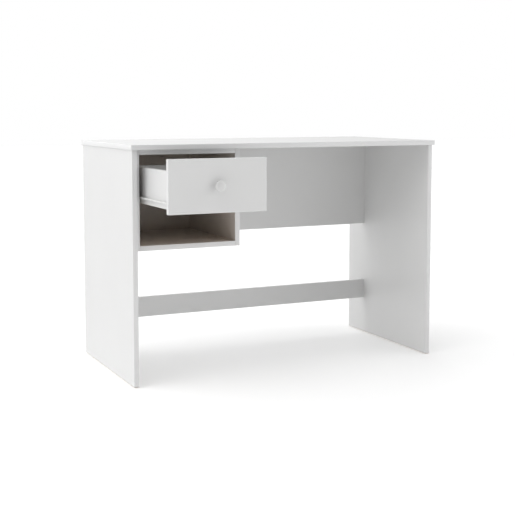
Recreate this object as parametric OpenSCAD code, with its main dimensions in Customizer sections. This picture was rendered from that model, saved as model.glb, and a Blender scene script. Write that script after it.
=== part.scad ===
// Writing desk with one drawer in a small cabinet, made of white laminated boards.
// The desk stands on the floor at Z = 0 and faces -Y. X = 0 is the middle of its width, and
// Y = 0 is the middle of its whole depth with the drawer standing open.

/* [Desk] */
// Width of the desktop
top_w = 1100; // [900:10:1500]
// Depth of the desktop
top_d = 545; // [530:5:700]
// Height of the desktop above the floor, glides included
desk_h = 752; // [620:1:950]
// Thickness of the desktop
top_t = 16; // [16:1:28]
// Thickness of every other board
board_t = 16; // [15:1:20]
// Overhang of the desktop past each side panel
side_overhang = 5; // [1:1:20]
// Overhang of the desktop past the front edges of the side panels
front_overhang = 10; // [1:1:20]
// Distance from the back edges of the side panels to the back of the modesty panel
panel_setback = 97; // [20:1:100]
// Height of the rail that ties the side panels together
rail_h = 70; // [56:1:120]
// Height of the rail's lower edge above the floor
rail_z = 134; // [60:1:200]

/* [Cabinet] */
// Outer width of the cabinet
cabinet_w = 354; // [295:1:480]
// Height of the cabinet and of the modesty panel, below the desktop
cabinet_h = 314; // [262:1:400]
// Distance the cabinet's front edges stand behind those of the side panels
cabinet_recess = 27; // [5:1:32]

/* [Drawer] */
// Distance the drawer stands open
drawer_open = 242; // [1:1:259]
// Distance the drawer can be opened before the rollers meet their stops
drawer_travel = 260; // [200:1:265]
// Height of the drawer front
drawer_front_h = 161; // [134:1:200]
// Gap at each side of the drawer front
drawer_side_gap = 4; // [1:0.5:6]
// Gap above the drawer front
drawer_top_gap = 3; // [1:0.5:6]
// Height of the drawer box
drawer_box_h = 110; // [92:1:140]
// Height of the drawer box's lower edge above that of the drawer front
drawer_box_lift = 15; // [4:1:20]
// Thickness of the drawer's hardboard bottom
drawer_bottom_t = 3; // [2.5:0.5:4]
// Height of the bottom's groove above the lower edge of the drawer box
groove_z = 10; // [8:1:14]
// Depth of the bottom's groove
groove_depth = 8; // [5:1:9]
// Diameter of the knob
knob_d = 34; // [24:1:45]
// Distance the knob stands out from the drawer front
knob_l = 24; // [20:1:35]
// Diameter of the knob's foot
knob_foot_d = 20; // [12:1:20]

/* [Runners] */
// Length of the runners and of the drawer box
runner_l = 350; // [300:1:350]
// Space for a runner between the cabinet side and the drawer side
runner_gap = 12.5; // [12.5:0.1:14]
// Thickness of the runners' steel
steel_t = 1.2; // [1:0.1:1.2]
// Headroom between a drawer runner and the upper flange of its cabinet runner
runner_headroom = 3.85; // [2:0.05:6]
// Diameter of the rollers
roller_d = 18; // [16:0.5:22]
// Width of the rollers
roller_w = 5.2; // [4.5:0.1:5.2]
// Distance of each roller's axis from the end of its runner
roller_inset = 14; // [12:1:20]
// Height of the lip turned down along the outer edge of a drawer runner
runner_lip_h = 4; // [2:0.5:4]
// Height of the stops pressed into the cabinet runners
stop_h = 5; // [3:0.5:6]

/* [Edging and fittings] */
// Thickness of the edging on the desktop and the drawer front
thick_band_t = 2; // [1:0.5:2]
// Thickness of the edging on the other boards
band_t = 1; // [0.5:0.5:2]
// Height of the floor glides
glide_h = 2; // [1.5:0.5:5]
// Diameter of the floor glides
glide_d = 14; // [10:1:15]
// Diameter of a cam lock
cam_d = 15; // [12:1:15]
// Depth of a cam lock below the axis of its bolt
cam_below = 4.5; // [3.6:0.1:4.5]
// Distance from a board's edge to the centre of its cam locks
cam_inset = 24; // [20:1:34]
// Diameter of the wooden dowels
dowel_d = 8; // [6:1:8]
// Length of the wooden dowels
dowel_l = 30; // [25:1:35]

/* [Hidden] */
$fn = 48;

// Clearances
hole_gap = 0.1;       // between a fitting and the wall of its hole, on the radius
end_gap = 0.5;        // between the end of a fitting and the bottom of its hole
groove_gap = 0.2;     // between the drawer bottom and each wall of its groove
roller_gap = 0.05;    // between a roller and the track or pin that it runs on
pass_gap = 0.5;       // between pieces that pass each other
stop_gap = 0.1;       // between a roller and its stop at the end of its travel
lip_gap = 0.3;        // between a roller and the lip of the drawer runner
band_gap = 0.05;      // between the ends of two strips of edging
flush = 0.2;          // a cam lock or screw head lies this far below the face
cut = 1;              // a cutting shape runs this far past the face that it opens

// Fittings
cam_bolt_thread_d = 5;
cam_bolt_thread_l = 11;
cam_bolt_neck_d = 5;
cam_bolt_head_d = 7;
cam_bolt_head_l = 4;
cam_bore_d = 8;
cam_cover_d = 17;
cam_cover_t = 0.4;
cam_cross_w = 1.4;
cam_cross_l = 8;
cam_cross_depth = 3;
dowel_near_l = 10;
confirmat_head_d = 10;
confirmat_head_l = 2.5;
confirmat_shank_d = 7;
confirmat_thread_d = 5;
confirmat_thread_l = 34;
hex_d = 4.6;
hex_depth = 3;
cap_d = 13;
cap_t = 1;
fixing_d = 4;
fixing_head_d = 8;
fixing_head_l = 2.5;
fixing_bite = 10;
runner_screw_d = 3.5;
runner_screw_l = 13;
runner_screw_head_d = 7;
runner_screw_head_l = 1.6;
cross_w = 1.2;
cross_l = 4.4;
cross_depth = 1;
knob_screw_d = 4;
knob_screw_bite = 12;
nail_d = 2;
nail_l = 14;
nail_head_d = 5;
nail_head_l = 0.8;
nail_recess = 0.6;

// Cam locks
cam_depth = board_t / 2 + cam_below;

// Desk
side_d = top_d - front_overhang;
side_span = top_w - 2 * side_overhang;
inner_w = side_span - 2 * board_t;
z_under = desk_h - top_t;
side_h = z_under - glide_h;
knob_reach = drawer_open - cabinet_recess + knob_l;
reach = max(front_overhang, knob_reach);
y_back = (side_d + reach) / 2;
y_front = y_back - side_d;
y_panel = y_back - panel_setback - board_t;
y_panel_mid = y_panel + board_t / 2;
x_out = side_span / 2;
x_in = inner_w / 2;

// Cabinet
cab_x = -x_in;
cab_in_x = cab_x + board_t;
cab_in_w = cabinet_w - 2 * board_t;
cab_in_x2 = cab_in_x + cab_in_w;
cab_mid_x = cab_x + cabinet_w / 2;
cab_y = y_front + cabinet_recess;
cab_d = y_panel - cab_y;
cab_z = z_under - cabinet_h;

// Drawer, as it stands open
front_x = cab_in_x + drawer_side_gap;
front_w = cab_in_w - 2 * drawer_side_gap;
front_y = cab_y - drawer_open;
front_z = z_under - board_t - drawer_top_gap - drawer_front_h;
box_y = front_y + board_t;
box_w = cab_in_w - 2 * runner_gap;
box_half = box_w / 2;
box_z = front_z + drawer_box_lift;
box_end_y = box_y + runner_l;
back_y = box_end_y - board_t;

// Runners: u runs from the cabinet side towards the drawer, and z from the runners' underside
runner_z = box_z - steel_t;
runner_y = cab_y + board_t + 2;
runner_flange = runner_gap - steel_t - 1.3;
track_u = steel_t + runner_screw_head_l + pass_gap;
track_z = steel_t + pass_gap + roller_d + roller_gap;
drawer_runner_h = track_z + steel_t;
cabinet_runner_h = drawer_runner_h + runner_headroom + steel_t;
under_flange = 14;
roller_u = track_u + steel_t + lip_gap;
front_axis_z = steel_t + pass_gap + roller_d / 2;
rear_axis_z = steel_t + roller_gap + roller_d / 2;
front_axis_y = runner_y + roller_inset;
rear_axis_y = box_end_y - roller_inset;
closed_axis_y = rear_axis_y + drawer_open;
open_axis_y = closed_axis_y - drawer_travel;
stop_l = 3;
stop_reach = sqrt(pow(roller_d / 2, 2) - pow(rear_axis_z - steel_t - stop_h, 2)) + stop_gap;
pin_d = 5;
pin_head_d = 8;
pin_head_l = 0.8;
rear_shoulder_l = runner_gap - steel_t - roller_u - roller_w - hole_gap;
screw_z = cabinet_runner_h - steel_t - runner_screw_head_d / 2 - 1.3;
cabinet_screw_y = [40, 170, 320];
drawer_screw_y = [30, 170, 310];
drawer_screw_inset = 5.5;

// Cam joints, each [centre of the cam lock on the face, direction out of the face, direction of the bolt]
side_cam_y = [60, side_d - 60];
left_cams = [for (y = side_cam_y) [[-x_in, y_front + y, z_under - cam_inset], [1, 0, 0], [0, 0, 1]]];
right_cams = [for (y = side_cam_y) [[x_in, y_front + y, z_under - cam_inset], [-1, 0, 0], [0, 0, 1]]];
panel_end_cams = [for (s = [-1, 1], z = [cab_z + 50, z_under - 60])
    [[s * (x_in - cam_inset), y_panel + board_t, z], [0, 1, 0], [s, 0, 0]]];
panel_top_cams = [for (s = [-1, 1])
    [[s * inner_w / 4, y_panel + board_t, z_under - cam_inset], [0, 1, 0], [0, 0, 1]]];
rail_cams = [for (s = [-1, 1])
    [[s * (x_in - cam_inset), y_panel + board_t, rail_z + rail_h / 2], [0, 1, 0], [s, 0, 0]]];
drawer_cam_z = [32, drawer_box_h - 22];
drawer_cams = [for (s = [-1, 1], z = drawer_cam_z)
    [[cab_mid_x + s * (box_half - board_t), box_y + cam_inset, box_z + z], [-s, 0, 0], [0, -1, 0]]];
desk_cams = concat(left_cams, right_cams, panel_end_cams, panel_top_cams, rail_cams);
// The cabinet side lies over the front cam lock of the left panel, so that one has no cover
covered_cams = [for (c = desk_cams) if (c != left_cams[0]) c];

// Dowels, each [point on the joint, direction of its short end]
side_dowels = [for (s = [-1, 1], y = [110, side_d - 130])
    [[s * (x_out - board_t / 2), y_front + y, z_under], [0, 0, 1]]];
panel_dowels = [for (s = [-1, 1], z = [cab_z + 90, z_under - 110])
    [[s * x_in, y_panel_mid, z], [s, 0, 0]]];
rail_dowels = [for (s = [-1, 1], z = [-20, 20])
    [[s * x_in, y_panel_mid, rail_z + rail_h / 2 + z], [s, 0, 0]]];
desk_dowels = concat(side_dowels, panel_dowels, rail_dowels);
drawer_dowels_at = [for (s = [-1, 1])
    [[cab_mid_x + s * (box_half - board_t / 2), box_y, box_z + (drawer_cam_z[0] + drawer_cam_z[1]) / 2],
     [0, -1, 0]]];

// Confirmat screws, each [centre of the head on the face, direction of the screw]
board_mid_z = [cab_z + board_t / 2, z_under - board_t / 2];
carcass_confirmats = [for (s = [-1, 1], z = board_mid_z, y = [60, cab_d - 60])
    [[cab_mid_x + s * cabinet_w / 2, cab_y + y, z], [-s, 0, 0]]];
right_confirmats = [for (c = carcass_confirmats) if (c[1].x < 0) c];
side_edge_confirmats = [for (z = [cab_z + 70, z_under - 70])
    [[cab_x + cabinet_w - board_t / 2, y_panel + board_t, z], [0, -1, 0]]];
bottom_edge_confirmats = [for (s = [-1, 1])
    [[cab_mid_x + s * cab_in_w / 4, y_panel + board_t, cab_z + board_t / 2], [0, -1, 0]]];
panel_confirmats = concat(side_edge_confirmats, bottom_edge_confirmats);
cabinet_confirmats_at = concat(carcass_confirmats, panel_confirmats);
// The heads on the left lie against the desk's side panel, so those have no cap
capped_confirmats = concat(right_confirmats, panel_confirmats);
drawer_confirmats_at = [for (s = [-1, 1], z = [groove_z + 26, drawer_box_h - 26])
    [[cab_mid_x + s * box_half, back_y + board_t / 2, box_z + z], [-s, 0, 0]]];

// Fixing screws, each [point under the head, direction of the screw]
fixing_y = [cab_y + 80, cab_y + cab_d - 80];
to_side = [for (y = fixing_y, z = [cab_z + 70, z_under - 70]) [[cab_in_x, y, z], [-1, 0, 0]]];
to_top = [for (y = fixing_y, s = [-1, 1])
    [[cab_mid_x + s * cab_in_w / 4, y, z_under - board_t], [0, 0, 1]]];

glide_inset = 50;
glide_spots = [for (s = [-1, 1], y = [y_front + glide_inset, y_back - glide_inset])
    [s * (x_out - board_t / 2), y]];

laminate = [0.94, 0.94, 0.93];
edging = [0.9, 0.9, 0.89];
steel = [0.72, 0.73, 0.74];
white_steel = [0.93, 0.93, 0.92];
white_plastic = [0.9, 0.9, 0.88];
beech = [0.78, 0.62, 0.42];

// ---- Placing ----

// Puts its children at p, with their Z along n and their X along d
module at(p, n, d) {
    s = cross(n, d);
    multmatrix([[d.x, s.x, n.x, p.x], [d.y, s.y, n.y, p.y], [d.z, s.z, n.z, p.z], [0, 0, 0, 1]])
        children();
}

// Puts its children at p, with their Z along d
module along(p, d) {
    at(p, d, abs(d.z) > 0.5 ? [1, 0, 0] : [0, 0, 1]) children();
}

module at_cams(list) for (c = list) at(c[0], c[1], c[2]) children();

module at_points(list) for (c = list) along(c[0], c[1]) children();

// A block from corner p with size s
module block(p, s) translate(p) cube(s);

// The point at u, y, z in a runner's own terms. side is -1 for the left runner and 1 for the right
module at_runner(side) {
    translate([side < 0 ? cab_in_x : cab_in_x2, 0, runner_z])
        mirror([side < 0 ? 0 : 1, 0, 0])
            children();
}

// ---- Fittings, each drawn with its axis along Z, or with its cam lock's axis along Z ----

// The pocket of a cam lock and the bore that its bolt comes through
module cam_pocket() {
    translate([0, 0, -cam_depth - flush])
        cylinder(d = cam_d + 2 * hole_gap, h = cam_depth + flush + cut);
    translate([0, 0, -board_t / 2])
        rotate([0, 90, 0])
            cylinder(d = cam_bore_d, h = cam_inset + cut);
}

// The pilot hole of a cam bolt in the board that it joins
module cam_pilot() {
    translate([cam_inset - cut, 0, -board_t / 2])
        rotate([0, 90, 0])
            cylinder(d = cam_bolt_thread_d + 2 * hole_gap, h = cam_bolt_thread_l + end_gap + cut);
}

module cam_lock() {
    difference() {
        translate([0, 0, -cam_depth - flush])
            cylinder(d = cam_d, h = cam_depth);
        translate([-cam_bolt_head_l / 2 - end_gap, 0, -board_t / 2])
            rotate([0, 90, 0])
                cylinder(d = cam_bolt_head_d + 2 * hole_gap, h = cam_d);
        for (a = [0, 90])
            rotate([0, 0, a])
                translate([-cam_cross_l / 2, -cam_cross_w / 2, -flush - cam_cross_depth])
                    cube([cam_cross_l, cam_cross_w, cam_cross_depth + cut]);
    }
}

module cam_bolt() {
    translate([0, 0, -board_t / 2])
        rotate([0, 90, 0]) {
            translate([0, 0, -cam_bolt_head_l / 2])
                cylinder(d = cam_bolt_head_d, h = cam_bolt_head_l);
            cylinder(d = cam_bolt_neck_d, h = cam_inset);
            translate([0, 0, cam_inset])
                cylinder(d = cam_bolt_thread_d, h = cam_bolt_thread_l);
        }
}

module cam_cover() {
    cylinder(d = cam_cover_d, h = cam_cover_t);
}

module dowel() {
    translate([0, 0, dowel_near_l - dowel_l])
        cylinder(d = dowel_d, h = dowel_l);
}

module dowel_hole() {
    translate([0, 0, dowel_near_l - dowel_l - end_gap])
        cylinder(d = dowel_d + 2 * hole_gap, h = dowel_l + 2 * end_gap);
}

module confirmat() {
    difference() {
        union() {
            translate([0, 0, flush])
                cylinder(d = confirmat_head_d, h = confirmat_head_l);
            translate([0, 0, flush + confirmat_head_l])
                cylinder(d = confirmat_shank_d, h = board_t - flush - confirmat_head_l);
            translate([0, 0, board_t])
                cylinder(d = confirmat_thread_d, h = confirmat_thread_l);
        }
        translate([0, 0, -cut])
            cylinder(d = hex_d, h = hex_depth + cut, $fn = 6);
    }
}

module confirmat_hole() {
    translate([0, 0, -cut])
        cylinder(d = confirmat_head_d + 2 * hole_gap, h = flush + confirmat_head_l + cut);
    cylinder(d = confirmat_shank_d + 2 * hole_gap, h = board_t);
    translate([0, 0, board_t - cut])
        cylinder(d = confirmat_thread_d + 2 * hole_gap, h = confirmat_thread_l + end_gap + cut);
}

module confirmat_cap() {
    translate([0, 0, -cap_t])
        cylinder(d1 = cap_d - cap_t, d2 = cap_d, h = cap_t);
}

// A round-headed wood screw with a cross recess. Its head ends at Z = 0
module wood_screw(d, l, head_d, head_l) {
    difference() {
        union() {
            translate([0, 0, -head_l])
                cylinder(d = head_d, h = head_l);
            cylinder(d = d, h = l);
        }
        for (a = [0, 90])
            rotate([0, 0, a])
                translate([-cross_l / 2, -cross_w / 2, -head_l - cut])
                    cube([cross_l, cross_w, cross_depth + cut]);
    }
}

module screw_hole(d, l) {
    translate([0, 0, -cut])
        cylinder(d = d + 2 * hole_gap, h = l + end_gap + cut);
}

module fixing_screw() wood_screw(fixing_d, board_t + fixing_bite, fixing_head_d, fixing_head_l);

module fixing_hole() screw_hole(fixing_d, board_t + fixing_bite);

module runner_screw() {
    wood_screw(runner_screw_d, runner_screw_l + steel_t, runner_screw_head_d, runner_screw_head_l);
}

module runner_screw_hole() screw_hole(runner_screw_d, runner_screw_l + steel_t);

// Each place of a cabinet runner's screws, under the head, with Z into the cabinet side
module at_cabinet_runner_screws(side) {
    at_runner(side)
        for (y = cabinet_screw_y)
            along([steel_t, runner_y + y, screw_z], [-1, 0, 0])
                children();
}

// Each place of a drawer runner's screws, under the head, with Z up into the drawer side
module at_drawer_runner_screws(side) {
    at_runner(side)
        for (y = drawer_screw_y)
            translate([runner_gap + drawer_screw_inset, box_y + y, 0])
                children();
}

// ---- Desk ----

module desk_top() {
    color(laminate)
        difference() {
            block([thick_band_t - top_w / 2, y_back - top_d + thick_band_t, z_under],
                  [top_w - 2 * thick_band_t, top_d - 2 * thick_band_t, top_t]);
            at_cams(concat(left_cams, right_cams, panel_top_cams)) cam_pilot();
            at_points(side_dowels) dowel_hole();
            at_points(to_top) fixing_hole();
        }
}

module desk_top_edge_bands() {
    color(edging) {
        for (y = [y_back - top_d, y_back - thick_band_t])
            block([-top_w / 2, y, z_under], [top_w, thick_band_t, top_t]);
        for (x = [-top_w / 2, top_w / 2 - thick_band_t])
            block([x, y_back - top_d + thick_band_t + band_gap, z_under],
                  [thick_band_t, top_d - 2 * thick_band_t - 2 * band_gap, top_t]);
    }
}

// A side panel without its holes. side is -1 for the left one and 1 for the right
module side_blank(side) {
    block([side < 0 ? -x_out : x_in, y_front + band_t, glide_h],
          [board_t, side_d - 2 * band_t, side_h]);
}

// What both side panels are drilled for
module side_drilling() {
    at_cams(concat(panel_end_cams, rail_cams)) cam_pilot();
    at_points(desk_dowels) dowel_hole();
    at_nails() cylinder(d = nail_d + 2 * hole_gap, h = glide_h + nail_l);
}

module left_side_panel() {
    color(laminate)
        difference() {
            side_blank(-1);
            side_drilling();
            at_cams(left_cams) cam_pocket();
            at_points(to_side) fixing_hole();
        }
}

module right_side_panel() {
    color(laminate)
        difference() {
            side_blank(1);
            side_drilling();
            at_cams(right_cams) cam_pocket();
        }
}

module side_panel_edge_bands() {
    color(edging)
        for (x = [-x_out, x_in], y = [y_front, y_back - band_t])
            block([x, y, glide_h], [board_t, band_t, side_h]);
}

module modesty_panel() {
    color(laminate)
        difference() {
            block([-x_in, y_panel, cab_z + band_t], [inner_w, board_t, cabinet_h - band_t]);
            at_cams(concat(panel_end_cams, panel_top_cams)) cam_pocket();
            at_points(panel_dowels) dowel_hole();
            at_points(panel_confirmats) confirmat_hole();
        }
}

module stretcher_rail() {
    color(laminate)
        difference() {
            block([-x_in, y_panel, rail_z + band_t], [inner_w, board_t, rail_h - 2 * band_t]);
            at_cams(rail_cams) cam_pocket();
            at_points(rail_dowels) dowel_hole();
        }
}

module rail_edge_bands() {
    color(edging)
        for (z = [cab_z, rail_z, rail_z + rail_h - band_t])
            block([-x_in, y_panel, z], [inner_w, board_t, band_t]);
}

// ---- Cabinet ----

module cabinet_side_blank(x) {
    block([x, cab_y + band_t, cab_z + band_t], [board_t, cab_d - band_t, cabinet_h - band_t]);
}

module cabinet_left_side() {
    color(laminate)
        difference() {
            cabinet_side_blank(cab_x);
            at_points(carcass_confirmats) confirmat_hole();
            at_points(to_side) fixing_hole();
            at_cabinet_runner_screws(-1) runner_screw_hole();
        }
}

module cabinet_right_side() {
    color(laminate)
        difference() {
            cabinet_side_blank(cab_in_x2);
            at_points(carcass_confirmats) confirmat_hole();
            at_points(side_edge_confirmats) confirmat_hole();
            at_cabinet_runner_screws(1) runner_screw_hole();
        }
}

module cabinet_board_blank(z) {
    block([cab_in_x, cab_y + band_t, z], [cab_in_w, cab_d - band_t, board_t]);
}

module cabinet_top_board() {
    color(laminate)
        difference() {
            cabinet_board_blank(z_under - board_t);
            at_points(carcass_confirmats) confirmat_hole();
            at_points(to_top) fixing_hole();
        }
}

module cabinet_bottom_board() {
    color(laminate)
        difference() {
            cabinet_board_blank(cab_z);
            at_points(carcass_confirmats) confirmat_hole();
            at_points(bottom_edge_confirmats) confirmat_hole();
        }
}

module cabinet_edge_bands() {
    color(edging) {
        for (x = [cab_x, cab_in_x2]) {
            block([x, cab_y, cab_z], [board_t, band_t, cabinet_h]);
            block([x, cab_y + band_t + band_gap, cab_z], [board_t, cab_d - band_t - band_gap, band_t]);
        }
        for (z = [cab_z, z_under - board_t])
            block([cab_in_x + band_gap, cab_y, z], [cab_in_w - 2 * band_gap, band_t, board_t]);
    }
}

// ---- Feet ----

module at_nails() for (g = glide_spots) translate([g.x, g.y, nail_recess]) children();

module glides() {
    color(white_plastic)
        difference() {
            for (g = glide_spots)
                translate([g.x, g.y, 0])
                    cylinder(d1 = glide_d - 2, d2 = glide_d, h = glide_h);
            at_nails()
                translate([0, 0, -cut])
                    cylinder(d = nail_head_d + 2 * hole_gap, h = nail_head_l + cut);
            at_nails()
                cylinder(d = nail_d + 2 * hole_gap, h = glide_h);
        }
}

module glide_nails() {
    color(steel)
        at_nails() {
            cylinder(d = nail_head_d, h = nail_head_l);
            cylinder(d = nail_d, h = glide_h - nail_recess + nail_l - end_gap);
        }
}

// ---- Fittings of the desk and the cabinet ----

module cam_locks() color(steel) at_cams(desk_cams) cam_lock();

module cam_bolts() color(steel) at_cams(desk_cams) cam_bolt();

module cam_covers() color(white_plastic) at_cams(covered_cams) cam_cover();

module wood_dowels() color(beech) at_points(desk_dowels) dowel();

module cabinet_confirmats() color(steel) at_points(cabinet_confirmats_at) confirmat();

module confirmat_caps() color(white_plastic) at_points(capped_confirmats) confirmat_cap();

module cabinet_fixing_screws() color(steel) at_points(concat(to_side, to_top)) fixing_screw();

// ---- Runners ----

// A stop pressed up out of the lower flange, from y on
module runner_stop(y) block([track_u, y, 0], [runner_flange - track_u, stop_l, steel_t + stop_h]);

module cabinet_runner(side) {
    color(white_steel)
        difference() {
            at_runner(side) {
                block([0, runner_y, 0], [steel_t, runner_l, cabinet_runner_h]);
                block([0, runner_y, 0], [runner_flange, runner_l, steel_t]);
                block([0, runner_y, cabinet_runner_h - steel_t], [runner_flange, runner_l, steel_t]);
                runner_stop(open_axis_y - stop_reach - stop_l);
                runner_stop(closed_axis_y + stop_reach);
            }
            at_cabinet_runner_screws(side)
                screw_hole(runner_screw_d, steel_t);
            at_runner(side)
                translate([-cut, front_axis_y, front_axis_z])
                    rotate([0, 90, 0])
                        cylinder(d = pin_d + 2 * hole_gap, h = steel_t + 2 * cut);
        }
}

module cabinet_runner_left() cabinet_runner(-1);

module cabinet_runner_right() cabinet_runner(1);

module drawer_runner(side) {
    color(white_steel)
        difference() {
            at_runner(side) {
                block([runner_gap - steel_t, box_y, 0], [steel_t, runner_l, drawer_runner_h]);
                block([runner_gap - steel_t, box_y, 0], [steel_t + under_flange, runner_l, steel_t]);
                block([track_u, box_y, track_z], [runner_gap - track_u, runner_l, steel_t]);
                block([track_u, box_y, track_z - runner_lip_h], [steel_t, runner_l, runner_lip_h + steel_t]);
            }
            at_drawer_runner_screws(side)
                screw_hole(runner_screw_d, steel_t);
            at_runner(side)
                translate([runner_gap - steel_t - cut, rear_axis_y, rear_axis_z])
                    rotate([0, 90, 0])
                        cylinder(d = pin_d + 2 * hole_gap, h = steel_t + 2 * cut);
        }
}

module drawer_runner_left() drawer_runner(-1);

module drawer_runner_right() drawer_runner(1);

// A roller with its axis along Z and one face at Z = 0, hollowed a little on each side
module roller() {
    r = roller_d / 2;
    bore = pin_d / 2 + roller_gap;
    rim = 2.2;
    dish = 0.5;
    soft = 0.6;
    rotate_extrude()
        polygon([
            [bore, 0], [bore + 1.5, 0], [bore + 2, dish], [r - rim, dish], [r - rim + dish, 0],
            [r - soft, 0], [r, soft], [r, roller_w - soft], [r - soft, roller_w],
            [r - rim + dish, roller_w], [r - rim, roller_w - dish], [bore + 2, roller_w - dish],
            [bore + 1.5, roller_w], [bore, roller_w]
        ]);
}

module front_roller(side) {
    color(white_plastic)
        at_runner(side)
            along([roller_u, front_axis_y, front_axis_z], [1, 0, 0])
                roller();
}

module rear_roller(side) {
    color(white_plastic)
        at_runner(side)
            along([roller_u, rear_axis_y, rear_axis_z], [1, 0, 0])
                roller();
}

module front_roller_left() front_roller(-1);

module front_roller_right() front_roller(1);

module rear_roller_left() rear_roller(-1);

module rear_roller_right() rear_roller(1);

module front_roller_pins() {
    color(steel)
        for (side = [-1, 1])
            at_runner(side)
                along([0, front_axis_y, front_axis_z], [1, 0, 0]) {
                    cylinder(d = pin_d, h = roller_u + roller_w + hole_gap);
                    translate([0, 0, steel_t])
                        cylinder(d = pin_head_d, h = roller_u - steel_t - hole_gap);
                    translate([0, 0, roller_u + roller_w + hole_gap])
                        cylinder(d = pin_head_d, h = pin_head_l);
                }
}

module rear_roller_pins() {
    color(steel)
        for (side = [-1, 1])
            at_runner(side)
                along([runner_gap, rear_axis_y, rear_axis_z], [-1, 0, 0]) {
                    cylinder(d = pin_d, h = runner_gap - roller_u + hole_gap);
                    translate([0, 0, steel_t])
                        cylinder(d = pin_head_d, h = rear_shoulder_l);
                    translate([0, 0, runner_gap - roller_u + hole_gap])
                        cylinder(d = pin_head_d, h = pin_head_l);
                }
}

module cabinet_runner_screws() {
    color(steel)
        for (side = [-1, 1])
            at_cabinet_runner_screws(side)
                runner_screw();
}

module drawer_runner_screws() {
    color(steel)
        for (side = [-1, 1])
            at_drawer_runner_screws(side)
                runner_screw();
}

// ---- Drawer ----

// The space of the drawer bottom, grown by g on every side
module bottom_sheet(g) {
    edge = groove_depth - end_gap + g;
    block([cab_mid_x - box_half + board_t - edge, box_y - edge, box_z + groove_z - g],
          [box_w - 2 * board_t + 2 * edge, back_y - box_y + 2 * edge, drawer_bottom_t + 2 * g]);
}

module drawer_front() {
    color(laminate)
        difference() {
            block([front_x + thick_band_t, front_y, front_z + thick_band_t],
                  [front_w - 2 * thick_band_t, board_t, drawer_front_h - 2 * thick_band_t]);
            bottom_sheet(groove_gap);
            at_cams(drawer_cams) cam_pilot();
            at_points(drawer_dowels_at) dowel_hole();
            at_knob()
                translate([0, 0, -board_t - cut])
                    cylinder(d = knob_screw_d + 2 * hole_gap, h = board_t + 2 * cut);
        }
}

module drawer_front_edge_bands() {
    color(edging) {
        for (z = [front_z, front_z + drawer_front_h - thick_band_t])
            block([front_x, front_y, z], [front_w, board_t, thick_band_t]);
        for (x = [front_x, front_x + front_w - thick_band_t])
            block([x, front_y, front_z + thick_band_t + band_gap],
                  [thick_band_t, board_t, drawer_front_h - 2 * thick_band_t - 2 * band_gap]);
    }
}

module drawer_side(side) {
    color(laminate)
        difference() {
            block([cab_mid_x + (side < 0 ? -box_half : box_half - board_t), box_y, box_z],
                  [board_t, runner_l, drawer_box_h - band_t]);
            bottom_sheet(groove_gap);
            at_cams(drawer_cams) cam_pocket();
            at_points(drawer_dowels_at) dowel_hole();
            at_points(drawer_confirmats_at) confirmat_hole();
            at_drawer_runner_screws(side) runner_screw_hole();
        }
}

module drawer_left_side() drawer_side(-1);

module drawer_right_side() drawer_side(1);

module drawer_back() {
    color(laminate)
        difference() {
            block([cab_mid_x - box_half + board_t, back_y, box_z],
                  [box_w - 2 * board_t, board_t, drawer_box_h - band_t]);
            bottom_sheet(groove_gap);
            at_points(drawer_confirmats_at) confirmat_hole();
        }
}

module drawer_box_edge_bands() {
    color(edging) {
        for (x = [cab_mid_x - box_half, cab_mid_x + box_half - board_t])
            block([x, box_y, box_z + drawer_box_h - band_t], [board_t, runner_l, band_t]);
        block([cab_mid_x - box_half + board_t + band_gap, back_y, box_z + drawer_box_h - band_t],
              [box_w - 2 * board_t - 2 * band_gap, board_t, band_t]);
    }
}

module drawer_bottom() color(laminate) bottom_sheet(0);

module drawer_cam_locks() color(steel) at_cams(drawer_cams) cam_lock();

module drawer_cam_bolts() color(steel) at_cams(drawer_cams) cam_bolt();

module drawer_cam_covers() color(white_plastic) at_cams(drawer_cams) cam_cover();

module drawer_dowels() color(beech) at_points(drawer_dowels_at) dowel();

module drawer_confirmats() color(steel) at_points(drawer_confirmats_at) confirmat();

// ---- Knob ----

// Puts its children on the face of the drawer front, at its middle, with Z out of the face
module at_knob() along([front_x + front_w / 2, front_y, front_z + drawer_front_h / 2], [0, -1, 0]) children();

module knob() {
    r = knob_d / 2;
    foot = knob_foot_d / 2;
    waist = foot - 1.5;
    rim_l = 4;
    crown = 3;
    rim_z = knob_l - crown - rim_l;
    steps = 6;
    color(white_plastic)
        at_knob()
            difference() {
                rotate_extrude()
                    polygon(concat(
                        [[0, 0], [foot, 0], [foot, 1.5], [waist, 4]],
                        [for (i = [0 : steps]) let (a = 90 * i / steps)
                            [r - 1 + (waist - r + 1) * cos(a), rim_z - (rim_z - 8) * (1 - sin(a))]],
                        [for (i = [1 : steps]) let (a = 180 * i / steps - 90)
                            [r - 1.5 + 1.5 * cos(a), rim_z + rim_l / 2 + rim_l / 2 * sin(a)]],
                        [for (i = [1 : steps]) let (a = 90 * i / steps)
                            [(r - 1.5) * cos(a), knob_l - crown + crown * sin(a)]]
                    ));
                translate([0, 0, -cut])
                    cylinder(d = knob_screw_d + 2 * hole_gap, h = knob_screw_bite + end_gap + cut);
            }
}

module knob_screw() {
    color(steel)
        at_knob()
            translate([0, 0, -board_t])
                wood_screw(knob_screw_d, board_t + knob_screw_bite, fixing_head_d, fixing_head_l);
}

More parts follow.
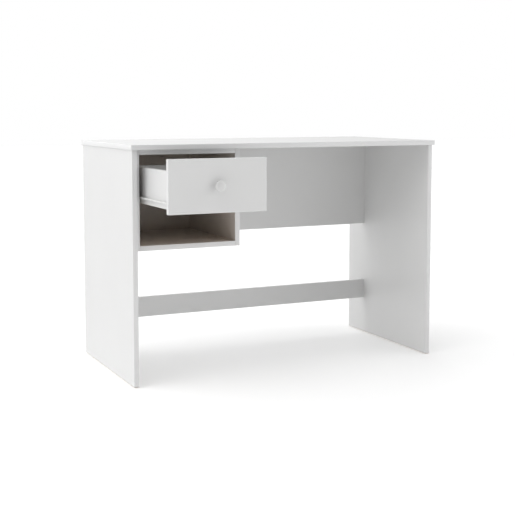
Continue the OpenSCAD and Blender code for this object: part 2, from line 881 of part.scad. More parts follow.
desk_top();
desk_top_edge_bands();
left_side_panel();
right_side_panel();
side_panel_edge_bands();
modesty_panel();
stretcher_rail();
rail_edge_bands();
cabinet_left_side();
cabinet_right_side();
cabinet_top_board();
cabinet_bottom_board();
cabinet_edge_bands();
glides();
glide_nails();
cam_locks();
cam_bolts();
cam_covers();
wood_dowels();
cabinet_confirmats();
confirmat_caps();
cabinet_fixing_screws();
cabinet_runner_left();
cabinet_runner_right();
cabinet_runner_screws();
front_roller_left();
front_roller_right();
front_roller_pins();
drawer_front();
drawer_front_edge_bands();
drawer_left_side();
drawer_right_side();
drawer_back();
drawer_box_edge_bands();
drawer_bottom();
drawer_runner_left();
drawer_runner_right();
drawer_runner_screws();
rear_roller_left();
rear_roller_right();
rear_roller_pins();
drawer_cam_locks();
drawer_cam_bolts();
drawer_cam_covers();
drawer_dowels();
drawer_confirmats();
knob();
knob_screw();
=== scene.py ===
"""Finishes a white writing desk: its boards, edging, knob, runners and fittings, on a pale floor."""

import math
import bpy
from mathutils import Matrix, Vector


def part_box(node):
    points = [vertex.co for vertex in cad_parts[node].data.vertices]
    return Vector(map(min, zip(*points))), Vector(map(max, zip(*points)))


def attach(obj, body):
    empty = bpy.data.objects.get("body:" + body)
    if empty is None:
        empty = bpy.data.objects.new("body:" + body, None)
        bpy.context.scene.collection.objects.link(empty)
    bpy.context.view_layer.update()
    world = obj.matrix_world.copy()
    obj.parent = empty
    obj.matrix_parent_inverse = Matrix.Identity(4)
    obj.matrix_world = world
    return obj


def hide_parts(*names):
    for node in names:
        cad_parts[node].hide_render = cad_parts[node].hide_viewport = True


bl_info = {
    "name": "White Writing Desk",
    "version": (1, 0, 0),
    "blender": (4, 5, 0),
    "location": "View3D > Sidebar > Desk",
    "description": "Edging, knob, rollers, fittings and finishes of a white panel-leg writing desk",
    "category": "Object",
}

import bmesh
import bpy
from bpy.props import FloatProperty, FloatVectorProperty, IntProperty, PointerProperty
from bpy.types import Operator, Panel, PropertyGroup
from mathutils import Matrix, Vector

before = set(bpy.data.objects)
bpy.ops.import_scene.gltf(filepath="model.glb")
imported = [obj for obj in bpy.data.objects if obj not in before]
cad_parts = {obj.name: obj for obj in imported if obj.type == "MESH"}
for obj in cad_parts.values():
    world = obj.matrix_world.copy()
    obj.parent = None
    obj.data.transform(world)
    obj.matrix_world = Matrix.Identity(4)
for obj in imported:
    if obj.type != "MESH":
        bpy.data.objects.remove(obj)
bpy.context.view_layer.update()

MM = 0.001
MERGE = 0.01 * MM  # points nearer than this are one point
CONTACT = 0.1 * MM  # faces nearer than this touch

ROLLER_NYLON = (0.82, 0.82, 0.79)
GLIDE_PLASTIC = (0.8, 0.8, 0.79)
PLATED_STEEL = (0.62, 0.62, 0.6)
DIE_CAST_ZINC = (0.52, 0.53, 0.54)
BEECH = (0.62, 0.42, 0.25)

DESK_BOARDS = ("desk_top", "left_side_panel", "right_side_panel", "modesty_panel", "stretcher_rail")
CABINET_BOARDS = (
    "cabinet_left_side", "cabinet_right_side", "cabinet_top_board", "cabinet_bottom_board",
)
DRAWER_BOARDS = ("drawer_front", "drawer_left_side", "drawer_right_side", "drawer_back")
ALL_BOARDS = DESK_BOARDS + CABINET_BOARDS + DRAWER_BOARDS


# ---- Places read from the frame ----

def solids_of(node):
    """The boxes of a CAD node's separate solids, as (lowest corner, highest corner), in a fixed order."""
    bm = bmesh.new()
    bm.from_mesh(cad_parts[node].data)
    bmesh.ops.remove_doubles(bm, verts=bm.verts, dist=MERGE)
    unseen = set(bm.verts)
    boxes = []
    while unseen:
        reached = [unseen.pop()]
        corners = []
        while reached:
            vert = reached.pop()
            corners.append(vert.co.copy())
            beside = {e.other_vert(vert) for e in vert.link_edges} & unseen
            unseen -= beside
            reached.extend(beside)
        low = Vector([min(c[i] for c in corners) for i in range(3)])
        high = Vector([max(c[i] for c in corners) for i in range(3)])
        boxes.append((low, high))
    bm.free()
    return sorted(boxes, key=lambda box: tuple(round(x, 5) for x in box[0]))


def unit(axis, sign=1):
    """The unit vector along axis 0, 1 or 2."""
    return Vector([sign if i == axis else 0.0 for i in range(3)])


def away_from_board(low, high, boards):
    """The direction out of the board that a flat piece lies on."""
    size = high - low
    axis = min(range(3), key=lambda i: size[i])
    sides = [i for i in range(3) if i != axis]
    for board in boards:
        board_low, board_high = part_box(board)
        if any(low[i] > board_high[i] or high[i] < board_low[i] for i in sides):
            continue
        if abs(low[axis] - board_high[axis]) < CONTACT:
            return unit(axis)
        if abs(high[axis] - board_low[axis]) < CONTACT:
            return unit(axis, -1)
    raise RuntimeError(f"a piece at {tuple(low)} lies on none of {boards}")


def long_axis(low, high):
    """The axis along which a strip runs."""
    size = high - low
    return max(range(3), key=lambda i: size[i])


# ---- Pieces ----

def piece(bm, name, body, finish, node):
    """Makes the mesh a finished object that rides on its body and stands for its CAD node."""
    crease = math.radians(35)
    bmesh.ops.remove_doubles(bm, verts=bm.verts, dist=MERGE)
    bmesh.ops.recalc_face_normals(bm, faces=bm.faces)
    for face in bm.faces:
        face.smooth = True
    for edge in bm.edges:
        edge.smooth = len(edge.link_faces) == 2 and edge.calc_face_angle(0) < crease
    mesh = bpy.data.meshes.new(name)
    bm.to_mesh(mesh)
    bm.free()
    mesh.materials.append(finish)
    made = bpy.data.objects.new(name, mesh)
    bpy.context.scene.collection.objects.link(made)
    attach(made, body)
    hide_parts(node)


def box_between(bm, low, high):
    """A closed box; returns its vertices."""
    size = Matrix.Diagonal((*(high - low), 1))
    return bmesh.ops.create_cube(bm, size=1, matrix=Matrix.Translation((low + high) / 2) @ size)["verts"]


def round_over(bm, edges, radius, segments):
    """Rounds the edges over."""
    bmesh.ops.bevel(
        bm, geom=edges, offset=radius, offset_type="OFFSET", segments=segments, profile=0.5,
        affect="EDGES", clamp_overlap=True, material=-1,
    )


def arc(centre_r, centre_h, radius, start, stop, steps):
    """Points (radius, height) of a profile along an arc from start to stop degrees."""
    angles = [math.radians(start + (stop - start) * i / steps) for i in range(steps + 1)]
    return [(centre_r + radius * math.cos(a), centre_h + radius * math.sin(a)) for a in angles]


def turned(bm, profile, foot, direction, steps=48):
    """Spins a profile of (radius, height) points about the line from foot along direction.

    The points of earlier pieces in the same bmesh are tagged and stay where they are.
    """
    turn = Vector((0, 0, 1)).rotation_difference(direction).to_matrix().to_4x4()
    place = Matrix.Translation(foot) @ turn
    verts = [bm.verts.new((r, 0, h)) for r, h in profile]
    edges = [bm.edges.new(pair) for pair in zip(verts, verts[1:])]
    bmesh.ops.spin(
        bm, geom=verts + edges, cent=(0, 0, 0), axis=(0, 0, 1), angle=math.tau, steps=steps,
        use_merge=True, use_duplicate=False,
    )
    made = [v for v in bm.verts if not v.tag]
    bmesh.ops.transform(bm, matrix=place, verts=made)
    for vert in made:
        vert.tag = True


def coat(node, finish):
    """Gives a CAD node its finish."""
    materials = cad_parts[node].data.materials
    materials.clear()
    materials.append(finish)


def dress(node, finish, ease):
    """A CAD node keeps its shape and gets its finish and slightly eased edges."""
    coat(node, finish)
    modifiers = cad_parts[node].modifiers
    modifiers.new("weld", "WELD").merge_threshold = MERGE
    bevel = modifiers.new("ease", "BEVEL")
    bevel.width = ease
    bevel.segments = 2
    bevel.limit_method = "ANGLE"
    bevel.angle_limit = math.radians(40)
    bevel.harden_normals = False


# ---- Finishes ----

class Finish:
    """One procedural material, built node by node from its shader back."""

    def __init__(self, name, colour, roughness, metallic=0.0, specular=0.5):
        self.material = bpy.data.materials.new(name)
        self.material.use_nodes = True
        self.tree = self.material.node_tree
        self.shader = self.tree.nodes["Principled BSDF"]
        self.set(self.shader, {
            "Base Color": (*colour, 1), "Roughness": roughness, "Metallic": metallic,
            "Specular IOR Level": specular,
        })
        self.coords = self.add("ShaderNodeTexCoord").outputs["Object"]

    def set(self, node, values):
        """Sets a node's own sockets by name."""
        for name, value in values.items():
            node.inputs[name].default_value = value

    def add(self, kind, **settings):
        """Adds a node with its settings."""
        node = self.tree.nodes.new(kind)
        for name, value in settings.items():
            setattr(node, name, value)
        return node

    def join(self, out, into):
        """Links an output to an input."""
        self.tree.links.new(out, into)

    def stretched(self, scale):
        """Object coordinates times scale on each axis."""
        mapping = self.add("ShaderNodeMapping")
        mapping.inputs["Scale"].default_value = scale
        self.join(self.coords, mapping.inputs["Vector"])
        return mapping.outputs["Vector"]

    def noise(self, scale, detail=2.0, roughness=0.5, stretch=None):
        """Soft random noise, 0 to 1, stretched on each axis if stretch says so."""
        node = self.add("ShaderNodeTexNoise")
        self.set(node, {"Scale": scale, "Detail": detail, "Roughness": roughness})
        self.join(self.stretched(stretch) if stretch else self.coords, node.inputs["Vector"])
        return node.outputs["Fac"]

    def bands(self, direction, scale):
        """Soft parallel bands across a direction."""
        node = self.add("ShaderNodeTexWave", wave_type="BANDS", bands_direction=direction)
        node.inputs["Scale"].default_value = scale
        self.join(self.coords, node.inputs["Vector"])
        return node.outputs["Fac"]

    def cells(self, scale, stretch):
        """A random grey for each small cell."""
        node = self.add("ShaderNodeTexVoronoi")
        node.inputs["Scale"].default_value = scale
        self.join(self.stretched(stretch), node.inputs["Vector"])
        return node.outputs["Color"]

    def calc(self, operation, *values):
        """A number worked out from sockets or plain numbers."""
        node = self.add("ShaderNodeMath", operation=operation)
        for socket, value in zip(node.inputs, values):
            if isinstance(value, (int, float)):
                socket.default_value = value
            else:
                self.join(value, socket)
        return node.outputs["Value"]

    def ramp(self, value, *stops):
        """Colours at positions along value."""
        node = self.add("ShaderNodeValToRGB")
        band = node.color_ramp.elements
        while len(band) < len(stops):
            band.new(0.5)
        for element, (position, tone) in zip(band, stops):
            element.position = position
            element.color = (*tone, 1)
        self.join(value, node.inputs["Fac"])
        return node.outputs["Color"]

    def mixed(self, share, first, second):
        """The first colour where share is 0 and the second where it is 1."""
        node = self.add("ShaderNodeMix", data_type="RGBA")
        for index, value in ((6, first), (7, second)):
            if hasattr(value, "__len__"):
                node.inputs[index].default_value = (*value, 1)
            else:
                self.join(value, node.inputs[index])
        self.join(share, node.inputs[0])
        return node.outputs[2]

    def colour(self, out):
        """Gives the shader its colour."""
        self.join(out, self.shader.inputs["Base Color"])

    def rough(self, value, low, high):
        """Roughness that varies between low and high with value."""
        node = self.add("ShaderNodeMapRange")
        self.set(node, {"To Min": low, "To Max": high})
        self.join(value, node.inputs["Value"])
        self.join(node.outputs["Result"], self.shader.inputs["Roughness"])

    def bump(self, height, depth, strength):
        """Relief of that depth in metres; a second call adds to the first."""
        node = self.add("ShaderNodeBump")
        self.set(node, {"Strength": strength, "Distance": depth})
        self.join(height, node.inputs["Height"])
        before = self.shader.inputs["Normal"].links
        if before:
            self.join(before[0].from_socket, node.inputs["Normal"])
        self.join(node.outputs["Normal"], self.shader.inputs["Normal"])

    def facing(self, axis):
        """How squarely the surface faces along an axis, 0 to 1."""
        split = self.add("ShaderNodeSeparateXYZ")
        self.join(self.add("ShaderNodeNewGeometry").outputs["Normal"], split.inputs[0])
        return self.calc("ABSOLUTE", split.outputs[axis])

    def within(self, low, high):
        """1 inside a box in the object's coordinates, 0 outside it."""
        split = self.add("ShaderNodeSeparateXYZ")
        self.join(self.coords, split.inputs[0])
        share = None
        for axis in range(3):
            for operation, limit in (("GREATER_THAN", low[axis]), ("LESS_THAN", high[axis])):
                test = self.calc(operation, split.outputs[axis], limit)
                share = test if share is None else self.calc("MULTIPLY", share, test)
        return share


def tinted(colour, factor):
    """The colour made lighter or darker."""
    return tuple(min(1.0, c * factor) for c in colour)


def cloudy(finish, colour, variation=0.012):
    """Colour of a plain surface, very slightly cloudy."""
    cloud = finish.noise(3.5, detail=3.0)
    return finish.ramp(cloud, (0.3, tinted(colour, 1 - variation)), (0.7, tinted(colour, 1 + variation)))


def particle_core(finish):
    """Colour of a cut edge: pressed chips in several shades of straw."""
    chips = finish.cells(420, stretch=(1, 1, 1.6))
    fine = finish.noise(1400, detail=3.0, roughness=0.7)
    dark, middling, pale = (0.30, 0.19, 0.10), (0.52, 0.37, 0.22), (0.68, 0.53, 0.36)
    straw = finish.ramp(chips, (0.1, dark), (0.5, middling), (0.9, pale))
    return finish.mixed(fine, straw, (0.62, 0.47, 0.31))


def board_finish(board, look):
    """White laminate on a board's two faces, with painted shade inside the cabinet (a darker, warmer tone),
    and bare chips on its cut edges.
    """
    low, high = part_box(board)
    size = high - low
    thin = min(range(3), key=lambda i: size[i])
    roughness = look.laminate_roughness
    finish = Finish(f"laminate_{board}", look.laminate, roughness)
    face = cloudy(finish, look.laminate)
    if board in CABINET_BOARDS + ("modesty_panel",):
        inside_low, inside_high = cabinet_space()
        # Painted shade: the cabinet's inner faces get a darker, warmer tone that stands in for the shade
        # deep inside the cabinet.
        painted_shade_tone = cloudy(finish, look.painted_shade_tone, variation=0.05)
        face = finish.mixed(finish.within(inside_low, inside_high), face, painted_shade_tone)
    laminated = finish.calc("GREATER_THAN", finish.facing(thin), 0.9)
    finish.colour(finish.mixed(laminated, particle_core(finish), face))
    finish.rough(finish.noise(60, detail=3.0), roughness - 0.04, roughness + 0.05)
    finish.bump(finish.noise(1100, detail=2.0), 0.02 * MM, strength=0.35)
    return finish.material


def cabinet_space():
    """The space inside the cabinet, where the painted shade goes, a hair wider so that it takes in the
    faces round it.
    """
    skin = 0.5 * MM
    low = Vector((
        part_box("cabinet_left_side")[1].x,
        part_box("cabinet_edge_bands")[0].y,
        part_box("cabinet_bottom_board")[1].z,
    ))
    high = Vector((
        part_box("cabinet_right_side")[0].x,
        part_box("modesty_panel")[0].y,
        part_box("cabinet_top_board")[0].z,
    ))
    return low - Vector((skin,) * 3), high + Vector((skin,) * 3)


def edging_finish(look):
    """Smooth extruded edging with a faint grain."""
    finish = Finish("white_edging", look.edging, 0.34)
    finish.colour(cloudy(finish, look.edging, variation=0.01))
    finish.rough(finish.noise(140, detail=2.0), 0.3, 0.4)
    finish.bump(finish.noise(2200, detail=1.0), 0.01 * MM, strength=0.3)
    return finish.material


def hardboard_finish(look):
    """White lacquer above, bare brown board with its screen mark below."""
    finish = Finish("drawer_bottom_hardboard", look.laminate, 0.45)
    split = finish.add("ShaderNodeSeparateXYZ")
    finish.join(finish.add("ShaderNodeNewGeometry").outputs["Normal"], split.inputs[0])
    above = finish.calc("GREATER_THAN", split.outputs[2], 0.5)
    fibres = finish.noise(700, detail=4.0, roughness=0.7)
    brown = finish.ramp(fibres, (0.3, (0.13, 0.07, 0.035)), (0.7, (0.27, 0.16, 0.085)))
    finish.colour(finish.mixed(above, brown, cloudy(finish, tinted(look.laminate, 0.97))))
    screen = finish.calc("MULTIPLY", finish.bands("X", 300), finish.bands("Y", 300))
    below = finish.calc("SUBTRACT", 1.0, above)
    finish.bump(finish.calc("MULTIPLY", screen, below), 0.25 * MM, strength=0.6)
    finish.bump(fibres, 0.03 * MM, strength=0.3)
    return finish.material


def moulded_finish(name, colour, roughness):
    """Injection-moulded plastic: satin, with a fine spark-eroded grain."""
    finish = Finish(name, colour, roughness)
    finish.colour(cloudy(finish, colour, variation=0.015))
    finish.rough(finish.noise(300, detail=3.0), roughness - 0.04, roughness + 0.06)
    finish.bump(finish.noise(2600, detail=2.0), 0.015 * MM, strength=0.4)
    return finish.material


def coated_steel_finish(look):
    """Roll-formed steel under white powder coating, with its orange peel."""
    finish = Finish("runner_white_coating", look.coating, 0.3)
    finish.colour(cloudy(finish, look.coating, variation=0.02))
    finish.rough(finish.noise(220, detail=2.0), 0.24, 0.38)
    finish.bump(finish.noise(520, detail=2.0), 0.05 * MM, strength=0.4)
    return finish.material


def metal_finish(name, colour, roughness, grain):
    """Bare metal: plated steel or die-cast zinc, by the size of its grain."""
    finish = Finish(name, colour, roughness, metallic=1.0)
    mottle = finish.noise(grain, detail=4.0, roughness=0.65)
    finish.colour(finish.ramp(mottle, (0.3, tinted(colour, 0.82)), (0.7, tinted(colour, 1.08))))
    finish.rough(finish.noise(grain * 3, detail=2.0), roughness - 0.08, roughness + 0.1)
    finish.bump(finish.noise(grain * 4, detail=2.0), 0.02 * MM, strength=0.4)
    return finish.material


def beech_finish():
    """Turned beech with its short dark flecks."""
    finish = Finish("dowel_beech_wood", BEECH, 0.6)
    grain = finish.noise(260, detail=4.0, stretch=(1, 1, 0.18))
    flecks = finish.noise(1800, detail=1.0, stretch=(1, 1, 0.12))
    wood = finish.ramp(grain, (0.3, (0.52, 0.33, 0.18)), (0.7, (0.72, 0.52, 0.33)))
    dark = finish.calc("GREATER_THAN", flecks, 0.62)
    finish.colour(finish.mixed(dark, wood, (0.36, 0.2, 0.1)))
    finish.bump(flecks, 0.05 * MM, strength=0.5)
    return finish.material


# ---- Settings ----

class DeskLook(PropertyGroup):
    """Colours and edge sizes of the desk."""

    laminate: FloatVectorProperty(
        name="Laminate", description="Colour of the laminated boards", subtype="COLOR", min=0, max=1,
        default=(0.69, 0.69, 0.687),
    )
    laminate_roughness: FloatProperty(
        name="Laminate roughness", description="How matt the laminate is", default=0.42, min=0.05, max=1,
    )
    # Painted shade: a darker, warmer tone laid on the cabinet's inner faces, standing in for the shade deep
    # inside the cabinet.
    painted_shade_tone: FloatVectorProperty(
        name="Cabinet lining", description="Colour of the laminate inside the cabinet", subtype="COLOR",
        min=0, max=1, default=(0.7, 0.65, 0.6),
    )
    edging: FloatVectorProperty(
        name="Edging", description="Colour of the edge strips", subtype="COLOR", min=0, max=1,
        default=(0.71, 0.71, 0.71),
    )
    knob: FloatVectorProperty(
        name="Knob", description="Colour of the knob", subtype="COLOR", min=0, max=1,
        default=(0.66, 0.66, 0.655),
    )
    coating: FloatVectorProperty(
        name="Runner coating", description="Colour of the powder-coated runners", subtype="COLOR",
        min=0, max=1, default=(0.7, 0.7, 0.69),
    )
    thick_edge_radius: FloatProperty(
        name="Thick edging radius", description="Rounding of the desktop's and the drawer front's edging",
        default=1.8 * MM, min=0.1 * MM, max=1.9 * MM, unit="LENGTH",
    )
    thin_edge_radius: FloatProperty(
        name="Thin edging radius", description="Rounding of the edging on the other boards",
        default=0.8 * MM, min=0.1 * MM, max=0.95 * MM, unit="LENGTH",
    )
    edge_segments: IntProperty(
        name="Edge segments", description="Facets across a rounded edge", default=4, min=1, max=8,
    )


class DeskStage(PropertyGroup):
    """Floor, light and camera."""

    camera_place: FloatVectorProperty(
        name="Camera place", description="Where the camera stands", subtype="TRANSLATION", unit="LENGTH",
        default=(-1.56823, -3.20617, 0.86519),
    )
    camera_heading: FloatProperty(
        name="Camera heading", description="Turn of the view to the right of straight ahead",
        subtype="ANGLE", default=0.4411,
    )
    camera_dip: FloatProperty(
        name="Camera dip", description="How far the view points down", subtype="ANGLE", default=0.0930,
    )
    camera_lens: FloatProperty(
        name="Camera lens", description="Focal length on a 36 mm sensor, in millimetres", default=73.918,
        min=10, max=300,
    )
    camera_shift: FloatProperty(
        name="Camera shift", description="Upward shift of the lens that keeps the uprights nearly upright",
        default=-0.1, min=-0.3, max=0.3,
    )
    floor_colour: FloatVectorProperty(
        name="Floor", description="Colour of the floor", subtype="COLOR", min=0, max=1,
        default=(0.95, 0.95, 0.95),
    )
    floor_width: FloatProperty(
        name="Floor width", description="Side of the square floor", default=40, min=4, unit="LENGTH",
    )
    floor_glow: FloatProperty(
        name="Floor glow", description="Light that the floor gives off by itself", default=0.14, min=0,
    )
    top_light: FloatProperty(
        name="Top light", description="Soft light straight above", default=0.74, min=0,
    )
    left_light: FloatProperty(
        name="Left light", description="Soft light above on the left", default=2.78, min=0,
    )
    right_light: FloatProperty(
        name="Right light", description="Soft light on the right, a little in front", default=2.74, min=0,
    )
    back_light: FloatProperty(
        name="Back light", description="Soft light behind the desk", default=2.53, min=0,
    )


# ---- Boards and edging ----

class DESK_OT_boards(Operator):
    """Gives every board its laminate, with bare chips on the cut edges"""

    bl_idname = "desk.boards"
    bl_label = "Finish boards"

    def execute(self, context):
        for board in ALL_BOARDS:
            coat(board, board_finish(board, context.scene.desk_look))
        return {"FINISHED"}


def edging_strip(bm, low, high, outward, radius, segments, ends):
    """A strip of edging, rounded over along its outer edges. Its ends are cut, eased or turn a corner."""
    centre = (low + high) / 2
    verts = box_between(bm, low, high)
    outer = {v for v in verts if (v.co - centre).dot(outward) > 0}
    along = unit(long_axis(low, high))
    chosen = []
    for edge in {e for v in outer for e in v.link_edges}:
        run = (edge.verts[0].co - edge.verts[1].co).normalized()
        on_face = all(v in outer for v in edge.verts)
        if ends == "corner" or (on_face and (ends == "eased" or abs(run.dot(along)) > 0.9)):
            chosen.append(edge)
    round_over(bm, chosen, radius, segments)


class DESK_OT_edging(Operator):
    """Lays rounded edging on the boards"""

    bl_idname = "desk.edging"
    bl_label = "Lay edging"

    def execute(self, context):
        look = context.scene.desk_look
        finish = edging_finish(look)
        groups = {
            "desk_top_edge_bands": ("desktop_edging", "desk", "corner"),
            "side_panel_edge_bands": ("leg_edging", "desk", "eased"),
            "rail_edge_bands": ("rail_edging", "desk", "cut"),
            "cabinet_edge_bands": ("cabinet_edging", "desk", "eased"),
            "drawer_front_edge_bands": ("drawer_front_edging", "drawer", "corner"),
            "drawer_box_edge_bands": ("drawer_box_edging", "drawer", "cut"),
        }
        for node, (name, body, ends) in groups.items():
            bm = bmesh.new()
            group_low, group_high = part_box(node)
            radius = look.thick_edge_radius if ends == "corner" else look.thin_edge_radius
            for low, high in solids_of(node):
                run = long_axis(low, high)
                through = high[run] - low[run] > group_high[run] - group_low[run] - CONTACT
                outward = away_from_board(low, high, ALL_BOARDS)
                kind = "cut" if ends == "corner" and not through else ends
                edging_strip(bm, low, high, outward, radius, look.edge_segments, kind)
            piece(bm, name, body, finish, node)
        return {"FINISHED"}


class DESK_OT_drawer_bottom(Operator):
    """Gives the drawer bottom its lacquered hardboard"""

    bl_idname = "desk.drawer_bottom"
    bl_label = "Finish drawer bottom"

    def execute(self, context):
        coat("drawer_bottom", hardboard_finish(context.scene.desk_look))
        return {"FINISHED"}


# ---- Knob ----

class DESK_OT_knob(Operator):
    """Turns the round knob: a foot, a narrow waist and a wide head with a soft rim"""

    bl_idname = "desk.knob"
    bl_label = "Turn knob"

    def execute(self, context):
        low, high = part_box("knob")
        radius = (high.x - low.x) / 2
        length = high.y - low.y
        centre = (low + high) / 2
        on_front = [v.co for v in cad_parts["knob"].data.vertices if high.y - v.co.y < MERGE]
        foot = max(math.hypot(co.x - centre.x, co.z - centre.z) for co in on_front)
        foot_edge = 0.4 * MM
        waist = foot - 3 * MM
        cove, cove_height = 3.6 * MM, 4.2 * MM
        flare_start = 6 * MM
        rim, crown = 1.8 * MM, 5 * MM
        rim_height = length - crown - rim
        bore = 2.1 * MM
        bore_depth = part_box("knob_screw")[0].y - low.y
        profile = [(0, length - bore_depth), (bore, length - bore_depth), (bore, 0)]
        profile += arc(foot - foot_edge, foot_edge, foot_edge, -90, 0, 3)
        profile += arc(waist + cove, cove_height, cove, 225, 180, 4)
        flare = rim_height - rim - flare_start
        reach = radius - rim - waist
        flare_steps, dome_steps = 8, 10
        for i in range(flare_steps + 1):
            a = math.radians(90 * i / flare_steps)
            profile.append((waist + reach * (1 - math.cos(a)), flare_start + flare * math.sin(a)))
        profile += arc(radius - rim, rim_height, rim, -70, 35, 8)
        dome_r, dome_h = profile[-1]
        for i in range(1, dome_steps + 1):
            a = math.radians(90 * i / dome_steps)
            profile.append((dome_r * math.cos(a), dome_h + (length - dome_h) * math.sin(a)))
        bm = bmesh.new()
        turned(bm, profile, Vector((centre.x, high.y, centre.z)), Vector((0, -1, 0)), steps=72)
        finish = moulded_finish("knob_satin_plastic", context.scene.desk_look.knob, 0.22)
        piece(bm, "drawer_knob", "drawer", finish, "knob")
        return {"FINISHED"}


# ---- Runners and rollers ----

class DESK_OT_runners(Operator):
    """Eases the runners' sheet edges and coats them white"""

    bl_idname = "desk.runners"
    bl_label = "Coat runners"

    def execute(self, context):
        finish = coated_steel_finish(context.scene.desk_look)
        for member in ("cabinet", "drawer"):
            for side in ("left", "right"):
                dress(f"{member}_runner_{side}", finish, 0.25 * MM)
        return {"FINISHED"}


class DESK_OT_rollers(Operator):
    """Turns the four nylon rollers, dished on both sides"""

    bl_idname = "desk.rollers"
    bl_label = "Turn rollers"

    def execute(self, context):
        finish = moulded_finish("roller_white_nylon", ROLLER_NYLON, 0.38)
        for place in ("front", "rear"):
            for side in ("left", "right"):
                node = f"{place}_roller_{side}"
                bm = bmesh.new()
                self.roller(bm, *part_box(node))
                piece(bm, f"{place}_{side}_roller", f"{node}_body", finish, node)
        return {"FINISHED"}

    def roller(self, bm, low, high):
        """One roller: a hub and a rim with a dished web between them, soft at the tread's edges."""
        radius = (high.z - low.z) / 2
        width = high.x - low.x
        bore, hub, rim = 2.55 * MM, 4.2 * MM, 6.9 * MM
        dish, slope, chamfer, soft = 0.9 * MM, 0.3 * MM, 0.2 * MM, 0.6 * MM
        half = [(bore, dish), (bore, chamfer), (bore + chamfer, 0), (hub, 0), (hub + slope, dish)]
        half += [(rim - slope, dish), (rim, chamfer / 2), (rim + chamfer, 0)]
        half += arc(radius - soft, soft, soft, -90, 0, 4)
        other = [(r, width - h) for r, h in reversed(half)]
        middle = (low + high) / 2
        end = Vector((low.x, middle.y, middle.z))
        turned(bm, half + other + [half[0]], end, Vector((1, 0, 0)), steps=64)


# ---- Fittings ----

class DESK_OT_caps(Operator):
    """Presses the white covers over the cam locks and the caps over the long screws"""

    bl_idname = "desk.caps"
    bl_label = "Press caps"

    def execute(self, context):
        look = context.scene.desk_look
        finish = moulded_finish("cap_white_plastic", look.laminate, look.laminate_roughness)
        groups = {
            "cam_covers": ("cam_cover_caps", "desk"),
            "confirmat_caps": ("long_screw_caps", "desk"),
            "drawer_cam_covers": ("drawer_cam_cover_caps", "drawer"),
        }
        for node, (name, body) in groups.items():
            bm = bmesh.new()
            for low, high in solids_of(node):
                outward = away_from_board(low, high, ALL_BOARDS)
                axis = [abs(x) for x in outward].index(1)
                radius = max(high - low) / 2
                height = (high - low)[axis]
                foot = (low + high) / 2 - outward * height / 2
                turned(bm, self.cap_profile(radius, height), foot, outward, steps=40)
            piece(bm, name, body, finish, node)
        return {"FINISHED"}

    def cap_profile(self, radius, height):
        """A thin disc with a soft edge and a slightly domed face."""
        edge = 0.45 * height
        rise = 0.15 * height
        profile = [(0, 0), (radius, 0)]
        profile += arc(radius - edge, height - edge - rise, edge, 0, 70, 4)
        last_r, last_h = profile[-1]
        for inward in (0.3, 0.6, 0.8, 1):
            out = 1 - inward
            profile.append((last_r * out, height - (height - last_h) * out ** 2))
        return profile


class DESK_OT_glides(Operator):
    """Moulds the floor glides"""

    bl_idname = "desk.glides"
    bl_label = "Mould glides"

    def execute(self, context):
        finish = moulded_finish("glide_white_plastic", GLIDE_PLASTIC, 0.5)
        nail_low, nail_high = solids_of("glide_nails")[0]
        shank = 1.1 * MM
        head = (nail_high.x - nail_low.x) / 2 + 0.1 * MM
        head_height = 0.8 * MM
        edge, taper, chamfer = 0.7 * MM, 1 * MM, 0.25 * MM
        bm = bmesh.new()
        for low, high in solids_of("glides"):
            radius, height = (high.x - low.x) / 2, high.z - low.z
            seat = nail_low.z - low.z + head_height
            profile = [(shank, height), (shank, seat), (head, seat), (head, chamfer), (head + chamfer, 0)]
            profile += arc(radius - taper - edge, edge, edge, -90, -25, 4)
            profile += [(radius, height - 0.3 * MM), (radius - 0.2 * MM, height), (shank, height)]
            centre = (low + high) / 2
            turned(bm, profile, Vector((centre.x, centre.y, low.z)), Vector((0, 0, 1)))
        piece(bm, "floor_glides", "desk", finish, "glides")
        return {"FINISHED"}


class DESK_OT_fittings(Operator):
    """Finishes the cams, screws, pins, nails and dowels"""

    bl_idname = "desk.fittings"
    bl_label = "Finish fittings"

    def execute(self, context):
        steel = metal_finish("plated_steel", PLATED_STEEL, 0.3, grain=180)
        zinc = metal_finish("die_cast_zinc", DIE_CAST_ZINC, 0.42, grain=420)
        beech = beech_finish()
        for node in ("cam_locks", "drawer_cam_locks"):
            dress(node, zinc, 0.2 * MM)
        for node in ("wood_dowels", "drawer_dowels"):
            dress(node, beech, 0.8 * MM)
        for node in (
            "cam_bolts", "drawer_cam_bolts", "cabinet_confirmats", "drawer_confirmats",
            "cabinet_fixing_screws", "cabinet_runner_screws", "drawer_runner_screws",
            "front_roller_pins", "rear_roller_pins", "glide_nails", "knob_screw",
        ):
            dress(node, steel, 0.15 * MM)
        return {"FINISHED"}


# ---- Stage ----

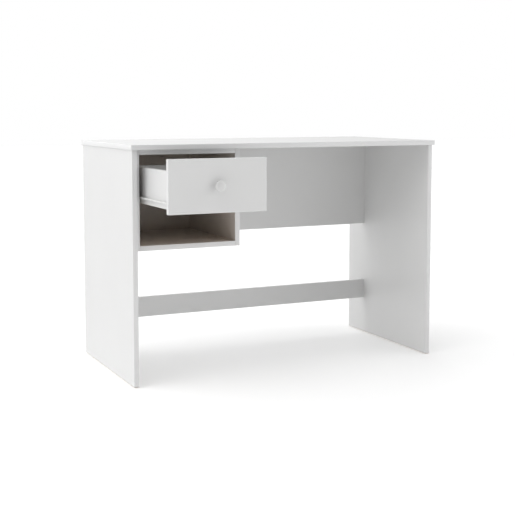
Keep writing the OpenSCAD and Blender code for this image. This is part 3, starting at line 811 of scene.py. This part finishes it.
class DESK_OT_stage(Operator):
    """Sets the floor, the soft light and the camera"""

    bl_idname = "desk.stage"
    bl_label = "Set stage"

    def execute(self, context):
        stage = context.scene.desk_stage
        self.floor(stage)
        self.room(context.scene, stage)
        self.camera(context.scene, stage)
        return {"FINISHED"}

    def floor(self, stage):
        """A plain pale floor that is slightly bright by itself."""
        bm = bmesh.new()
        bmesh.ops.create_grid(bm, x_segments=1, y_segments=1, size=stage.floor_width / 2)
        mesh = bpy.data.meshes.new("studio_floor")
        bm.to_mesh(mesh)
        bm.free()
        floor = bpy.data.objects.new("studio_floor", mesh)
        bpy.context.scene.collection.objects.link(floor)
        finish = Finish("pale_floor", stage.floor_colour, 0.7, specular=0.2)
        finish.bump(finish.noise(90, detail=3.0), 0.1 * MM, strength=0.1)
        finish.set(finish.shader, {"Emission Color": (1, 1, 1, 1), "Emission Strength": stage.floor_glow})
        mesh.materials.append(finish.material)

    def room(self, scene, stage):
        """White to the camera, and a soft even light on the desk."""
        world = bpy.data.worlds.new("white_room")
        world.use_nodes = True
        tree = world.node_tree
        seen, light = tree.nodes["Background"], tree.nodes.new("ShaderNodeBackground")
        seen.inputs["Color"].default_value = (1, 1, 1, 1)
        ahead = tree.nodes.new("ShaderNodeTexCoord").outputs["Generated"]
        total = None
        for direction, strength in (
            ((0, 0, 1), stage.top_light), ((-1, 0, 1), stage.left_light),
            ((1, -0.5, 0.1), stage.right_light), ((0, 1, 0.1), stage.back_light),
        ):
            lobe = self.lobe(tree, ahead, Vector(direction).normalized(), strength)
            total = self.added(tree, lobe, total) if total else lobe
        tree.links.new(total, light.inputs["Strength"])
        mix = tree.nodes.new("ShaderNodeMixShader")
        tree.links.new(tree.nodes.new("ShaderNodeLightPath").outputs["Is Camera Ray"], mix.inputs[0])
        tree.links.new(light.outputs[0], mix.inputs[1])
        tree.links.new(seen.outputs[0], mix.inputs[2])
        tree.links.new(mix.outputs[0], tree.nodes["World Output"].inputs["Surface"])
        scene.world = world
        scene.view_settings.view_transform = "Standard"

    def added(self, tree, first, second):
        """The sum of two strengths."""
        node = tree.nodes.new("ShaderNodeMath")
        tree.links.new(first, node.inputs[0])
        tree.links.new(second, node.inputs[1])
        return node.outputs["Value"]

    def lobe(self, tree, ahead, direction, strength):
        """A broad soft light in one direction of the room."""
        towards = tree.nodes.new("ShaderNodeVectorMath")
        towards.operation = "DOT_PRODUCT"
        tree.links.new(ahead, towards.inputs[0])
        towards.inputs[1].default_value = direction
        last = towards.outputs["Value"]
        for operation, value in (("MAXIMUM", 0.0), ("POWER", 4.0), ("MULTIPLY", strength)):
            node = tree.nodes.new("ShaderNodeMath")
            node.operation = operation
            tree.links.new(last, node.inputs[0])
            node.inputs[1].default_value = value
            last = node.outputs["Value"]
        return last

    def camera(self, scene, stage):
        """The camera, turned to its heading and dipped."""
        lens = bpy.data.cameras.new("camera")
        lens.lens = stage.camera_lens
        lens.shift_y = stage.camera_shift
        lens.clip_end = 100
        made = bpy.data.objects.new("camera", lens)
        made.location = stage.camera_place
        heading, dip = stage.camera_heading, stage.camera_dip
        ahead = Vector((
            math.sin(heading) * math.cos(dip), math.cos(heading) * math.cos(dip), -math.sin(dip),
        ))
        made.rotation_euler = ahead.to_track_quat("-Z", "Y").to_euler()
        scene.collection.objects.link(made)
        scene.camera = made


# ---- Panel ----

STEPS = (
    DESK_OT_boards, DESK_OT_edging, DESK_OT_drawer_bottom, DESK_OT_knob, DESK_OT_runners,
    DESK_OT_rollers, DESK_OT_caps, DESK_OT_glides, DESK_OT_fittings, DESK_OT_stage,
)


class DESK_PT_sidebar(Panel):
    """Lists the desk's settings and making steps"""

    bl_idname = "DESK_PT_sidebar"
    bl_label = "Writing desk"
    bl_space_type = "VIEW_3D"
    bl_region_type = "UI"
    bl_category = "Desk"

    def draw(self, context):
        for settings in (context.scene.desk_look, context.scene.desk_stage):
            box = self.layout.box()
            for name in settings.__annotations__:
                box.prop(settings, name)
        for step in STEPS:
            self.layout.operator(step.bl_idname)


CLASSES = (DeskLook, DeskStage, *STEPS, DESK_PT_sidebar)


def register():
    for cls in CLASSES:
        bpy.utils.register_class(cls)
    bpy.types.Scene.desk_look = PointerProperty(type=DeskLook)
    bpy.types.Scene.desk_stage = PointerProperty(type=DeskStage)


def unregister():
    del bpy.types.Scene.desk_stage
    del bpy.types.Scene.desk_look
    for cls in reversed(CLASSES):
        bpy.utils.unregister_class(cls)


def main():
    register()
    for step in STEPS:
        group, action = step.bl_idname.split(".")
        getattr(getattr(bpy.ops, group), action)()


if __name__ == "__main__":
    main()
